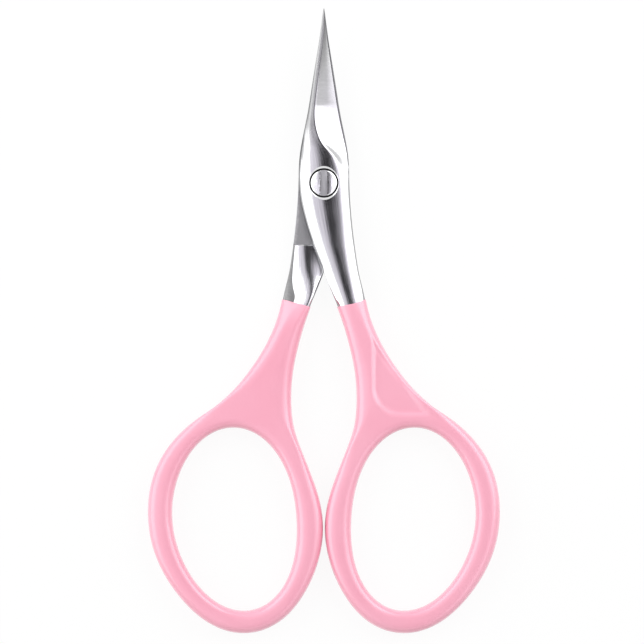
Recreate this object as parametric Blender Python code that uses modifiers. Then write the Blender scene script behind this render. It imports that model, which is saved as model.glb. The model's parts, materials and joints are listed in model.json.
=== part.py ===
"""Beauty scissors, about 92 mm long: two forged steel halves that cross and turn on a slotted
screw, with a glossy coat over each ring handle.

The scissors lie closed on their flat side. +Y runs to the tips and +Z along the screw's axis to its
head. The origin is where that axis meets the surface that they lie on. Each half is modelled in plan,
with its height counted out from its mating face. The rear half is the front half turned over about the
Y axis, except that both blades curve up.
"""

import math

import bmesh
import bpy
from mathutils import Vector

MM = 0.001
FRONT, REAR = 1, -1

# Blades, boss and shanks
BLADE_LENGTH = 25.6 * MM  # screw axis to tip
SHANK_LENGTH = 17.5 * MM  # screw axis to the coat's mouth
BOSS_WIDTH = 7.52 * MM
BOSS_THICKNESS = 1.8 * MM  # of one half
EDGE_THICKNESS = 0.07 * MM
BEVEL_HOLLOW = 0.12 * MM
FACE_RELIEF = 0.08 * MM  # the mating face is ground this hollow along the blade
RUNNING_GAP = 0.12 * MM  # between the two mating faces
BLADE_RISE = 3.4 * MM  # the blades curve up by this at the tip
CURVE_START = 4.0 * MM  # from the screw axis

# Ring handles, over the coat
HOLE_WIDTH = 18.3 * MM
HOLE_LENGTH = 27.0 * MM
HOLE_LEAN = 1.55 * MM  # the lower half of the hole leans in by this
HOLE_BACK = 49.6 * MM  # screw axis to the middle of the hole
RING_BAND = 3.62 * MM
RING_GAP = 0.26 * MM
COAT_WALL = 0.12 * MM
COAT_GAP = 0.02 * MM

# Pivot screw
HEAD_DIAMETER = 4.04 * MM
HEAD_THICKNESS = 0.6 * MM
HEAD_DOME = 0.28 * MM
HEAD_ROUND = 0.08 * MM
SLOT_WIDTH = 1.0 * MM
SLOT_DEPTH = 0.45 * MM
SCREW_DIAMETER = 2.3 * MM
SEAT_CLEARANCE = 0.14 * MM  # round the head
SEAT_CHAMFER = 0.18 * MM
BORE_CLEARANCE = 0.1 * MM  # round the screw, in the half that turns
THREAD_CLEARANCE = 0.04 * MM  # round the screw, in the half that holds it
FLOOR_GAP = 0.04 * MM  # between the head and the floor of its seat
CUTTER_OVERRUN = 1.0 * MM
TURNED_STEPS = 40
WELD_DISTANCE = 0.0005 * MM

# Worked out from the sizes above
MATING_HEIGHT = BOSS_THICKNESS + RUNNING_GAP / 2
COAT_SIZE = COAT_WALL + COAT_GAP
CORE_HALF_THICKNESS = MATING_HEIGHT - COAT_SIZE
SEAT_FLOOR = BOSS_THICKNESS - HEAD_THICKNESS - HEAD_DOME

# Lines along one half. A pair's first number is the place along it: 1 at the tip, 0 at the screw's axis
# and -1 at the coat's mouth. The second is the distance from the centre plane, as a share of half the
# boss's width.
SPINE_SHARES = (
    (1.0, -0.012), (0.97, -0.045), (0.84, -0.157), (0.7, -0.314), (0.56, -0.468), (0.42, -0.611),
    (0.35, -0.707), (0.28, -0.806), (0.21, -0.904), (0.14, -0.968), (0.05, -1.0), (-0.06, -0.975),
    (-0.15, -0.923), (-0.24, -0.824), (-0.34, -0.71), (-0.44, -0.562), (-0.535, -0.404), (-0.62, -0.245),
    (-0.69, -0.117), (-0.76, 0.003), (-0.84, 0.157), (-0.92, 0.31), (-1.04, 0.535),
)
RIDGE_SHARES = (
    (1.0, 0.0), (0.97, 0.008), (0.87, 0.03), (0.77, -0.064), (0.68, -0.157), (0.56, -0.27), (0.43, -0.39),
    (0.36, -0.38), (0.3, -0.298), (0.24, -0.133), (0.2, 0.085), (0.171, 0.362), (0.13, 0.497),
    (0.07, 0.625), (0.0, 0.678), (-0.13, 0.691), (-0.29, 0.771), (-0.48, 0.824), (-0.65, 0.93),
    (-0.79, 1.053), (-0.95, 1.194), (-1.04, 1.27),
)
EDGE_SHARES = (
    (1.0, 0.012), (0.97, 0.034), (0.84, 0.11), (0.7, 0.25), (0.56, 0.392), (0.42, 0.533), (0.35, 0.63),
    (0.28, 0.728), (0.21, 0.84), (0.14, 0.93), (0.07, 0.985), (0.0, 0.995), (-0.14, 1.02), (-0.25, 1.061),
    (-0.35, 1.1), (-0.45, 1.157), (-0.55, 1.218), (-0.65, 1.277), (-0.75, 1.354), (-0.85, 1.473),
    (-0.95, 1.588), (-1.04, 1.68),
)

# Heights along the same lines, as shares of the boss's thickness. The crown lies between the spine and
# the ridge. The edge's rise is added to its own thickness, and the dip counts in the bevel's hollows.
SPINE_HEIGHT_SHARES = (
    (1.0, 0.1), (0.87, 0.2), (0.6, 0.36), (0.35, 0.5), (0.1, 0.52), (-0.6, 0.5), (-1.04, 0.5),
)
CROWN_HEIGHT_SHARES = (
    (1.0, 0.14), (0.87, 0.27), (0.6, 0.52), (0.43, 0.7), (0.3, 0.88), (0.18, 0.98), (0.05, 1.03),
    (-0.5, 1.0), (-1.04, 0.91),
)
RIDGE_HEIGHT_SHARES = (
    (1.0, 0.15), (0.87, 0.29), (0.6, 0.55), (0.43, 0.72), (0.3, 0.86), (0.2, 0.93), (0.13, 0.9),
    (0.0, 0.86), (-0.6, 0.86), (-1.04, 0.84),
)
EDGE_RISE_SHARES = (
    (1.0, 0.0), (0.2, 0.0), (0.13, 0.12), (0.06, 0.34), (-0.04, 0.44), (-0.6, 0.46), (-1.04, 0.46),
)
BEVEL_DIP_SHARES = (
    (1.0, 0.0), (0.87, 0.6), (0.5, 1.0), (0.3, 2.4), (0.2, 2.8), (0.12, 1.0), (0.05, 0.0), (-1.04, 0.0),
)

# Rows of the cage across one half, from the tip to the coat's mouth: the places of their three lines.
ROW_PLACE_SHARES = (
    (1.0, 1.0, 1.0), (0.96, 0.96, 0.96), (0.87, 0.87, 0.87), (0.77, 0.77, 0.77), (0.66, 0.66, 0.66),
    (0.54, 0.54, 0.535), (0.435, 0.43, 0.42), (0.37, 0.355, 0.325), (0.31, 0.285, 0.24),
    (0.25, 0.225, 0.175), (0.18, 0.182, 0.12), (0.1, 0.135, 0.065), (0.0, 0.05, 0.0),
    (-0.13, -0.11, -0.13), (-0.28, -0.28, -0.28), (-0.41, -0.41, -0.41), (-0.52, -0.52, -0.52),
    (-0.53, -0.53, -0.53), (-0.72, -0.72, -0.72), (-0.82, -0.815, -0.805), (-0.925, -0.905, -0.885),
    (-1.034, -1.0, -0.96),
)
LEDGE_ROW = 16  # the ground mating face ends in a straight ledge between this row and the next
RELIEF_END_SHARES = (0.95, 0.3)
CROWN_COLUMN_SHARES = (0.3, 0.66)  # places of the two columns between the spine and the ridge
BEVEL_COLUMN_SHARE = 0.45
SHOULDER_SHARE = 0.93  # height of the column by the spine, of the crown's

# Past the ledge the back swells to the full round section, but never where the other half crosses it. A
# flat is ground along it by the edge, and widens to the coat's mouth. For each row, these are the places
# of the six columns as shares of its width, from spine to edge, and then their heights as shares of the
# half thickness of the handle's core.
BACK_COLUMN_SHARES = (
    (0.0, 0.24, 0.52, 0.78, 0.955, 1.0),
    (0.02, 0.12, 0.34, 0.62, 0.92, 1.0),
    (0.045, 0.12, 0.28, 0.52, 0.865, 1.0),
    (0.05, 0.12, 0.28, 0.5, 0.75, 1.0),
    (0.0, 0.06, 0.17, 0.3, 0.46, 1.0),
)
BACK_SWELL_SHARES = (
    (-0.01, -0.01, 0.04, 0.13, -0.06, -0.12),
    (-0.12, -0.1, 0.1, 0.22, -0.07, -0.15),
    (0.22, 0.29, 0.37, 0.32, -0.06, -0.18),
    (0.74, 0.8, 0.75, 0.55, 0.18, -0.09),
    (0.86, 0.98, 0.92, 0.81, 0.65, 0.3),
)

# How sharp the lines along a half stay when the cage is smoothed, by place. The ground lines are sharp and
# the forged ones round. The flat's line is the one between the flat and the rest of the back.
RIDGE_CREASE_SHARES = ((1.0, 1.0), (0.285, 1.0), (0.135, 0.8), (0.05, 0.7), (-0.815, 0.7), (-0.905, 0.5))
EDGE_CREASE_SHARES = ((1.0, 1.0), (0.24, 1.0), (0.175, 0.9), (0.12, 0.6), (0.065, 0.35), (0.0, 0.2))
SPINE_CREASE_SHARES = ((1.0, 0.45), (0.31, 0.45), (0.25, 0.2), (-0.53, 0.2), (-0.82, 0.7), (-0.925, 0.7))
BACK_SPINE_CREASE_SHARES = (
    (1.0, 1.0), (-0.52, 1.0), (-0.53, 0.8), (-0.82, 0.8), (-0.925, 0.7), (-1.034, 0.0),
)
BACK_FLAT_CREASE_SHARES = ((1.0, 0.0), (-0.52, 0.0), (-0.53, 1.0), (-0.885, 1.0), (-0.96, 0.6))
BACK_EDGE_CREASE_SHARES = ((1.0, 1.0), (-0.52, 1.0), (-0.53, 0.8), (-0.805, 0.5), (-0.885, 0.3), (-0.96, 0.0))
LINE_OF_COLUMN = {0: 0, 3: 1, 4: 2, 5: 2}  # which of a row's three places goes with a column

# The neck between the coat's mouth and the ring, over the coat. Each row has its left and right end: how
# far back it lies between the mouth and the middle of the hole, and its side place as a share of the
# hole's. The last number bows the row up.
NECK_ROW_SHARES = (
    ((0.108, 0.215), (0.085, 0.53), 0.0),
    ((0.209, 0.283), (0.2, 0.654), 0.0),
    ((0.315, 0.337), (0.305, 0.815), 0.014),
    ((0.42, 0.357), (0.397, 0.993), 0.047),
    ((0.522, 0.348), (0.462, 1.161), 0.094),
    ((0.623, 0.299), (0.503, 1.283), 0.127),
)
NECK_RIM_SHARES = (0.56, 0.64, 0.74, 0.84, 0.92, 0.98)
RING_STATIONS = 20
FIRST_STATION_ANGLE = 63  # the neck joins the ring from this station on
COLUMNS = 6
BAND_SHARES = (  # width of the ring's band by angle round the hole
    (0, 1.0), (27, 0.99), (45, 0.88), (63, 0.8), (90, 0.88), (120, 0.9), (153, 0.88), (180, 1.09),
    (200, 1.02), (225, 0.89), (270, 0.93), (315, 0.88), (340, 0.97), (360, 1.0),
)
LEAN_SOFTNESS_SHARE = 0.2

# Catmull-Clark smoothing draws a section of six points in to this share of its width.
SMOOTHED_WIDTH_SHARE = 46 / 48


def clear_scene():
    for obj in list(bpy.data.objects):
        bpy.data.objects.remove(obj, do_unlink=True)


def new_collection(name):
    collection = bpy.data.collections.new(name)
    bpy.context.scene.collection.children.link(collection)
    return collection


def new_object(name, mesh, collection):
    obj = bpy.data.objects.new(name, mesh)
    collection.objects.link(obj)
    return obj


def new_material(name, colour, roughness, metallic):
    material = bpy.data.materials.new(name)
    material.use_nodes = True
    surface = material.node_tree.nodes["Principled BSDF"]
    surface.inputs["Base Color"].default_value = (*colour, 1.0)
    surface.inputs["Roughness"].default_value = roughness
    surface.inputs["Metallic"].default_value = metallic
    return material


def along(table, place):
    """The table's value at a place, on a smooth curve through its points."""
    points = sorted(table)
    place = min(max(place, points[0][0]), points[-1][0])
    index = next(i for i in range(len(points) - 1) if place <= points[i + 1][0])
    (x0, y0), (x1, y1) = points[index], points[index + 1]

    def slope(i):
        before, after = points[max(i - 1, 0)], points[min(i + 1, len(points) - 1)]
        return (after[1] - before[1]) / (after[0] - before[0])

    span = x1 - x0
    t = (place - x0) / span
    start, end = slope(index) * span, slope(index + 1) * span
    bend = t * (1 - t) * (start * (1 - t) - end * t)
    return y0 + (y1 - y0) * t * t * (3 - 2 * t) + bend


def plan_point(line, place):
    """A point in plan on one of the lines along a half."""
    length = BLADE_LENGTH if place > 0 else SHANK_LENGTH
    return Vector((along(line, place) * BOSS_WIDTH / 2, place * length))


def blade_row(places):
    """One row of six columns: plan points and heights of the outer side, and of the mating side."""
    spine_place, ridge_place, edge_place = places
    spine = plan_point(SPINE_SHARES, spine_place)
    ridge = plan_point(RIDGE_SHARES, ridge_place)
    edge = plan_point(EDGE_SHARES, edge_place)
    shoulder, crown = (spine.lerp(ridge, share) for share in CROWN_COLUMN_SHARES)
    bevel = ridge.lerp(edge, BEVEL_COLUMN_SHARE)

    spine_height = along(SPINE_HEIGHT_SHARES, spine_place) * BOSS_THICKNESS
    crown_height = along(CROWN_HEIGHT_SHARES, ridge_place) * BOSS_THICKNESS
    ridge_height = along(RIDGE_HEIGHT_SHARES, ridge_place) * BOSS_THICKNESS
    edge_height = EDGE_THICKNESS + along(EDGE_RISE_SHARES, edge_place) * BOSS_THICKNESS
    bevel_height = ridge_height + (edge_height - ridge_height) * BEVEL_COLUMN_SHARE
    bevel_height -= along(BEVEL_DIP_SHARES, ridge_place) * BEVEL_HOLLOW
    outer = [
        spine_height,
        crown_height * SHOULDER_SHARE,
        crown_height,
        ridge_height,
        bevel_height,
        edge_height,
    ]
    hollow = FACE_RELIEF if RELIEF_END_SHARES[1] < ridge_place < RELIEF_END_SHARES[0] else 0
    points = [spine, shoulder, crown, ridge, bevel, edge]
    return points, outer, list(points), [0, 0, hollow, hollow, hollow, 0]


def handle_heights(share):
    """Heights of the two sides at a share of the handle's half thickness, about the mating plane."""
    middle = -RUNNING_GAP / 2
    return middle + CORE_HALF_THICKNESS * share, middle - CORE_HALF_THICKNESS * share


def steel_rows():
    rows = [blade_row(places) for places in ROW_PLACE_SHARES]
    for row, places, swells in zip(rows[LEDGE_ROW + 1 :], BACK_COLUMN_SHARES, BACK_SWELL_SHARES):
        points, _, back_points, back = row
        back_points[:] = [points[0].lerp(points[-1], share) for share in places]
        back[:] = [-CORE_HALF_THICKNESS * share for share in swells]
    return rows


def hole_centre():
    side = RING_GAP / 2 + RING_BAND * along(BAND_SHARES, 180) + HOLE_WIDTH / 2
    return Vector((side, -HOLE_BACK))


def hole_point(angle):
    """A point of the finger hole's outline: an ellipse whose lower half leans in."""
    turn = math.radians(angle)
    rise = math.sin(turn)
    lean = (rise - math.hypot(rise, LEAN_SOFTNESS_SHARE) + LEAN_SOFTNESS_SHARE) / 2
    offset = Vector((HOLE_WIDTH / 2 * math.cos(turn) + HOLE_LEAN * lean, HOLE_LENGTH / 2 * rise))
    return hole_centre() + offset


def sharpened(line):
    """The points of a closed line, moved out by what smoothing will draw them in."""
    count = len(line)
    return [p + (p * 2 - line[i - 1] - line[(i + 1) % count]) / 6 for i, p in enumerate(line)]


def core_side(start, points, end, turn):
    """One side of the neck's core: the coat's side moved in by the coat, between the mouth and the ring."""
    line = [start, *points, end]
    side = []
    for before, point, after in zip(line, points, line[2:]):
        along_side = (after - before).normalized()
        inward = Vector((-along_side.y, along_side.x)) * turn
        side.append(point + inward * COAT_SIZE)
    return sharpened([start, *side, end])[1:-1]


def neck_rows(mouth, joint):
    """The rows between the coat's mouth and the ring, given the rows on either side of them."""
    reach = HOLE_BACK - SHANK_LENGTH

    def side_points(ends):
        return [Vector((side * hole_centre().x, -SHANK_LENGTH - back * reach)) for back, side in ends]

    left_ends, right_ends, bows = zip(*NECK_ROW_SHARES)
    left = core_side(mouth[0], side_points(left_ends), joint[0], 1)
    right = core_side(mouth[-1], side_points(right_ends), joint[-1], -1)
    rows = []
    for start, end, bow, rim_share in zip(left, right, bows, NECK_RIM_SHARES):
        points = []
        for column in range(COLUMNS):
            t = column / (COLUMNS - 1)
            points.append(start.lerp(end, t) + Vector((0, bow * reach * 4 * t * (1 - t))))
        shares = [rim_share, 1, 1, 1, 1, rim_share]
        outer, back = zip(*(handle_heights(share) for share in shares))
        rows.append((points, outer, points, back))
    return rows


def ring_loops():
    """The inner, middle and outer loops of the ring's steel core, in plan."""
    inner, middle, outer = [], [], []
    for station in range(RING_STATIONS):
        angle = (FIRST_STATION_ANGLE + station * 360 / RING_STATIONS) % 360
        tangent = hole_point(angle + 1) - hole_point(angle - 1)
        outward = Vector((tangent.y, -tangent.x)).normalized()
        band = RING_BAND * along(BAND_SHARES, angle)
        centre = hole_point(angle) + outward * band / 2
        reach = outward * (band / 2 - COAT_SIZE) / SMOOTHED_WIDTH_SHARE
        inner.append(centre - reach)
        middle.append(centre)
        outer.append(centre + reach)
    return sharpened(inner), sharpened(middle), sharpened(outer)


class Cage:
    """A coarse cage of one half. It turns plan points and heights into placed vertices."""

    def __init__(self, side):
        self.side = side
        self.bm = bmesh.new()
        self.crease = self.bm.edges.layers.float.new("crease_edge")

    def vertex(self, point, height):
        rise = 0
        if point.y > CURVE_START:
            rise = BLADE_RISE * ((point.y - CURVE_START) / (BLADE_LENGTH - CURVE_START)) ** 2
        level = MATING_HEIGHT + self.side * (RUNNING_GAP / 2 + height) + rise
        return self.bm.verts.new((self.side * point.x, point.y, level))

    def sheet(self, points, heights):
        return [self.vertex(point, height) for point, height in zip(points, heights)]

    def face(self, corners, coated):
        self.bm.faces.new(corners).material_index = int(coated)

    def strip(self, first, second, coated, closed=False):
        """Faces between two lines of vertices, which are the same length."""
        count = len(first)
        for i in range(count if closed else count - 1):
            j = (i + 1) % count
            self.face((first[i], first[j], second[j], second[i]), coated)

    def set_crease(self, line, values):
        for start, end, value in zip(line, line[1:], values):
            self.bm.edges.get((start, end))[self.crease] = value


def crease_half(cage, outer, back):
    """Keeps the edges sharp that are ground, and lets the forged ones stay round."""
    lines = (
        (outer, 0, SPINE_CREASE_SHARES),
        (outer, 3, RIDGE_CREASE_SHARES),
        (outer, 5, EDGE_CREASE_SHARES),
        (back, 0, BACK_SPINE_CREASE_SHARES),
        (back, 4, BACK_FLAT_CREASE_SHARES),
        (back, 5, BACK_EDGE_CREASE_SHARES),
    )
    for sheet, column, table in lines:
        line = [row[column] for row in sheet[: len(ROW_PLACE_SHARES)]]
        places = [row_places[LINE_OF_COLUMN[column]] for row_places in ROW_PLACE_SHARES]
        cage.set_crease(line, [min(1.0, max(0.0, along(table, place))) for place in places])
    for row in (LEDGE_ROW, LEDGE_ROW + 1):
        cage.set_crease(back[row], [1.0] * COLUMNS)
    around_tip = outer[0] + back[0][::-1]
    cage.set_crease(around_tip + around_tip[:1], [1.0] * (2 * COLUMNS))


def half_cage(side):
    """One whole half: blade, boss and shank, then the neck and the ring of the handle's core."""
    cage = Cage(side)
    steel = steel_rows()
    loops = ring_loops()
    rows = steel + neck_rows(steel[-1][0], loops[2][COLUMNS - 1 :: -1])
    outer = [cage.sheet(points, heights) for points, heights, _, _ in rows]
    back = [cage.sheet(points, heights) for _, _, points, heights in rows]

    top, bottom = handle_heights(1)
    ring_outer = [cage.sheet(loop, [top] * RING_STATIONS) for loop in loops]
    ring_back = [cage.sheet(loop, [bottom] * RING_STATIONS) for loop in loops]
    outer.append(ring_outer[2][COLUMNS - 1 :: -1])
    back.append(ring_back[2][COLUMNS - 1 :: -1])

    for row in range(len(outer) - 1):
        coated = row >= len(steel) - 1
        cage.strip(outer[row], outer[row + 1], coated)
        cage.strip(back[row], back[row + 1], coated)
        for column in (0, COLUMNS - 1):
            ends = (outer[row][column], outer[row + 1][column], back[row + 1][column], back[row][column])
            cage.face(ends, coated)
    cage.face(outer[0] + back[0][::-1], False)

    for sheet in (ring_outer, ring_back):
        cage.strip(sheet[0], sheet[1], True, closed=True)
        cage.strip(sheet[1], sheet[2], True, closed=True)
    cage.strip(ring_outer[0], ring_back[0], True, closed=True)
    free = slice(COLUMNS - 1, RING_STATIONS)
    cage.strip(ring_outer[2][free] + ring_outer[2][:1], ring_back[2][free] + ring_back[2][:1], True)

    crease_half(cage, outer, back)
    bmesh.ops.recalc_face_normals(cage.bm, faces=cage.bm.faces)
    mesh = bpy.data.meshes.new("half cage")
    cage.bm.to_mesh(mesh)
    cage.bm.free()
    return mesh


def smooth_shaded(mesh, angle=40):
    mesh.shade_smooth()
    mesh.set_sharp_from_angle(angle=math.radians(angle))


def turned_object(name, profile, collection):
    """A turned solid. Its (radius, height) points run from the axis down the outside to the axis."""
    mesh = bpy.data.meshes.new(name)
    count = len(profile)
    mesh.from_pydata([(r, 0, z) for r, z in profile], [(i, i + 1) for i in range(count - 1)], [])
    obj = new_object(name, mesh, collection)
    screw = obj.modifiers.new("Turn", "SCREW")
    screw.steps = screw.render_steps = TURNED_STEPS
    screw.use_merge_vertices = True
    screw.merge_threshold = WELD_DISTANCE
    return obj


def cut(obj, cutter):
    modifier = obj.modifiers.new(cutter.name, "BOOLEAN")
    modifier.operation = "DIFFERENCE"
    modifier.object = cutter


def as_cutter(obj):
    obj.hide_render = True
    obj.display_type = "WIRE"
    return obj


def seat_cutter(collection):
    """The bore of the front half, with the seat and the chamfer round the head."""
    base = MATING_HEIGHT + RUNNING_GAP / 2
    floor = base + SEAT_FLOOR - FLOOR_GAP
    seat = HEAD_DIAMETER / 2 + SEAT_CLEARANCE
    bore = SCREW_DIAMETER / 2 + BORE_CLEARANCE
    chamfer_foot = base + BOSS_THICKNESS - 2 * SEAT_CHAMFER
    top = base + BOSS_THICKNESS + CUTTER_OVERRUN
    flare = top - chamfer_foot
    profile = [(0, top), (seat + flare, top), (seat, chamfer_foot), (seat, floor), (bore, floor)]
    profile += [(bore, -CUTTER_OVERRUN), (0, -CUTTER_OVERRUN)]
    return as_cutter(turned_object("seat cutter", profile, collection))


def bore_cutter(collection):
    """The threaded bore of the rear half, at the thread's outer diameter."""
    radius = SCREW_DIAMETER / 2 + THREAD_CLEARANCE
    top = MATING_HEIGHT + CUTTER_OVERRUN
    profile = [(0, top), (radius, top), (radius, -CUTTER_OVERRUN), (0, -CUTTER_OVERRUN)]
    return as_cutter(turned_object("bore cutter", profile, collection))


def slot_cutter(collection):
    mesh = bpy.data.meshes.new("slot cutter")
    bm = bmesh.new()
    bmesh.ops.create_cube(bm, size=1)
    bmesh.ops.scale(bm, vec=(SLOT_WIDTH, HEAD_DIAMETER + CUTTER_OVERRUN, 2 * SLOT_DEPTH), verts=bm.verts)
    bm.to_mesh(mesh)
    bm.free()
    obj = new_object("slot cutter", mesh, collection)
    obj.location.z = MATING_HEIGHT + RUNNING_GAP / 2 + SEAT_FLOOR + HEAD_THICKNESS + HEAD_DOME
    return as_cutter(obj)


def make_screw(collection, cutters, steel):
    """The pivot screw: a slotted, slightly domed head, and a shank that ends flush with the rear half."""
    under = MATING_HEIGHT + RUNNING_GAP / 2 + SEAT_FLOOR
    edge = under + HEAD_THICKNESS
    radius = HEAD_DIAMETER / 2
    dome_shares = (0, 0.25, 0.5, 0.75)
    profile = [((radius - HEAD_ROUND) * share, edge + HEAD_DOME * (1 - share**2)) for share in dome_shares]
    profile += [(radius - HEAD_ROUND, edge), (radius, edge - HEAD_ROUND), (radius, under)]
    profile += [(SCREW_DIAMETER / 2, under), (SCREW_DIAMETER / 2, 0), (0, 0)]
    screw = turned_object("pivot_screw", profile, collection)
    screw.data.materials.append(steel)
    cut(screw, slot_cutter(cutters))
    return screw


def smoothed_half(name, side, collection, steel):
    """The steel half, with the subdivision that rounds its cage."""
    mesh = half_cage(side)
    mesh.materials.append(steel)
    half = new_object(name, mesh, collection)
    smooth = half.modifiers.new("Smooth", "SUBSURF")
    smooth.levels = smooth.render_levels = 1
    return half


def make_coat(name, half, collection, pink):
    """The coat: the handle's own surface, moved out by the gap and thickened outwards."""
    graph = bpy.context.evaluated_depsgraph_get()
    mesh = bpy.data.meshes.new_from_object(half.evaluated_get(graph))
    mesh.name = name
    bm = bmesh.new()
    bm.from_mesh(mesh)
    bare = [face for face in bm.faces if face.material_index == 0]
    bmesh.ops.delete(bm, geom=bare, context="FACES")
    for face in bm.faces:
        face.material_index = 0
    bm.to_mesh(mesh)
    bm.free()
    mesh.materials.clear()
    mesh.materials.append(pink)
    smooth_shaded(mesh)
    coat = new_object(name, mesh, collection)
    gap = coat.modifiers.new("Gap", "DISPLACE")
    gap.strength = COAT_GAP
    gap.mid_level = 0
    wall = coat.modifiers.new("Wall", "SOLIDIFY")
    wall.thickness = COAT_WALL
    wall.offset = 1
    wall.use_even_offset = True
    return coat


def make_half(place, side, collection, cutters, steel, pink):
    half = smoothed_half(place + "_blade_half", side, collection, steel)
    coat = make_coat(place + "_handle_coat", half, collection, pink)
    half.data.polygons.foreach_set("material_index", [0] * len(half.data.polygons))
    smooth_shaded(half.data)
    cut(half, seat_cutter(cutters) if side == FRONT else bore_cutter(cutters))
    return half, coat


def make_scissors():
    clear_scene()
    scissors = new_collection("beauty scissors")
    cutters = new_collection("cutters")
    steel = new_material("polished steel", (0.66, 0.66, 0.68), 0.18, 1.0)
    pink = new_material("pink coat", (0.93, 0.4, 0.53), 0.22, 0.0)

    front_pieces = make_half("front", FRONT, scissors, cutters, steel, pink)
    make_half("rear", REAR, scissors, cutters, steel, pink)
    make_screw(scissors, cutters, steel)

    pivot = bpy.data.objects.new("pivot axis", None)
    pivot.location.z = MATING_HEIGHT
    scissors.objects.link(pivot)
    bpy.context.view_layer.update()
    for piece in front_pieces:
        piece.parent = pivot
        piece.matrix_parent_inverse = pivot.matrix_world.inverted()


make_scissors()
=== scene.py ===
# %% [markdown]
# # Beauty scissors
# Cuticle scissors lie closed on a table and are seen from straight above: two forged steel halves that
# cross on a slotted screw, and a glossy pink coat over each ring handle. The measured model comes first.
# It is a frame that nothing here may move, and every finer piece is built in the same place around it.

# %% Load the frame
import json
import math

import bmesh
import bpy
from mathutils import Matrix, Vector


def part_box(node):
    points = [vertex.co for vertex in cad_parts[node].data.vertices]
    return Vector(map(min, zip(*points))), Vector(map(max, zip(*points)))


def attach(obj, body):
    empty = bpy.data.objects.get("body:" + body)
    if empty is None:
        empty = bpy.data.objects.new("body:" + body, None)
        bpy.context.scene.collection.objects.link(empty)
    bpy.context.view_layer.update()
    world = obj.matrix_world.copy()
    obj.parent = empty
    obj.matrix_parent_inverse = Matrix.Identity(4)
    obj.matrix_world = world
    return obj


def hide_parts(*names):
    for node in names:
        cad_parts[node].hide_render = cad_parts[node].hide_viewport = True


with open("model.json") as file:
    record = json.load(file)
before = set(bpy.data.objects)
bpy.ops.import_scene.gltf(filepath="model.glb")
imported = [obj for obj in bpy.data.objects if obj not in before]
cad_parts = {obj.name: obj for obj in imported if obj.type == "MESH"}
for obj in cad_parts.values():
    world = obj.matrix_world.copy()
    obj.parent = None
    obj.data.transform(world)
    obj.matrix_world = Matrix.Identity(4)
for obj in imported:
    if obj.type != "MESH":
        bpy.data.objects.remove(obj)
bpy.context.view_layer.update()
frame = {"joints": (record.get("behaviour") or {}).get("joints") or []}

MM = 0.001


def in_mm(sizes):
    return [round(size / MM, 2) for size in sizes]


# %% [markdown]
# ## Sizes
# What the frame already knows is read from it: how far the tips reach, where the two halves meet, and how
# wide and high the screw's head is. The other sizes are the designer's own, in millimetres. A name that
# ends in share or shares is a part of one of these sizes, so the whole shape follows when a size changes.

# %% Sizes
blade_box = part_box("front_blade_half")
screw_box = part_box("pivot_screw")
BLADE_LENGTH = blade_box[1].y  # screw axis to tip
MATING_HEIGHT = frame["joints"][0]["pos_m"][2]  # the plane where the two halves meet
HEAD_DIAMETER = screw_box[1].x - screw_box[0].x
HEAD_TOP = screw_box[1].z

SHANK_LENGTH = 17.5 * MM  # screw axis to the coat's mouth
BOSS_WIDTH = 7.52 * MM
RUNNING_GAP = 0.12 * MM  # between the two ground faces
BOSS_THICKNESS = MATING_HEIGHT - RUNNING_GAP / 2  # of one half
EDGE_THICKNESS = 0.07 * MM
BEVEL_HOLLOW = 0.12 * MM
FACE_RELIEF = 0.08 * MM  # the ground face is this hollow along the blade
BLADE_RISE = 3.4 * MM  # the blades curve up by this at the tip
CURVE_START = 4.0 * MM  # from the screw axis

HOLE_WIDTH = 18.3 * MM
HOLE_LENGTH = 27.0 * MM
HOLE_LEAN = 1.55 * MM  # the lower half of the hole leans in by this
HOLE_BACK = 49.6 * MM  # screw axis to the middle of the hole
RING_BAND = 3.62 * MM
RING_GAP = 0.26 * MM
COAT_WALL = 0.12 * MM
COAT_GAP = 0.02 * MM
COAT_SIZE = COAT_WALL + COAT_GAP
CORE_HALF_THICKNESS = MATING_HEIGHT - COAT_SIZE
WELD_DISTANCE = 0.0005 * MM
UNIT = 1  # a primitive starts with this size, before it is scaled or its points are pulled to their places
print("blade, head and height in mm:", in_mm((BLADE_LENGTH, HEAD_DIAMETER, HEAD_TOP)))

# %% [markdown]
# ## Camera
# The photograph looks straight down, and the two rings and the tips keep their proportions, so the lens is
# long. A lens can be any length as long as its distance grows with it. The picture's width at the height
# where the halves meet fixes the distance, and a camera that isn't turned looks straight down.

# %% Camera
PICTURE_WIDTH = 95.05 * MM
PICTURE_MIDDLE = Vector((-0.28 * MM, -20.5 * MM, MATING_HEIGHT))
LENS_MM = 400

camera_data = bpy.data.cameras.new("long lens")
camera_data.lens = LENS_MM
camera_distance = PICTURE_WIDTH * LENS_MM / camera_data.sensor_width
camera_data.clip_end = camera_distance * 2
camera = bpy.data.objects.new("camera", camera_data)
camera.location = PICTURE_MIDDLE + Vector((0, 0, camera_distance))
bpy.context.scene.collection.objects.link(camera)
bpy.context.scene.camera = camera
bpy.context.scene.view_settings.view_transform = "Standard"
print("camera at", round(camera_distance, 3), "m")

# %% [markdown]
# ## Lines along one half
# Each half is drawn as three lines seen from above: its spine, the ridge where the ground bevel starts, and
# its edge. A pair's first number is the place along the half, with 1 at the tip, 0 at the screw and -1 at
# the coat's mouth. The second is the distance from the centre plane, as a share of half the boss's width.
# Heights over the ground face follow, as shares of the boss's thickness.

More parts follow.
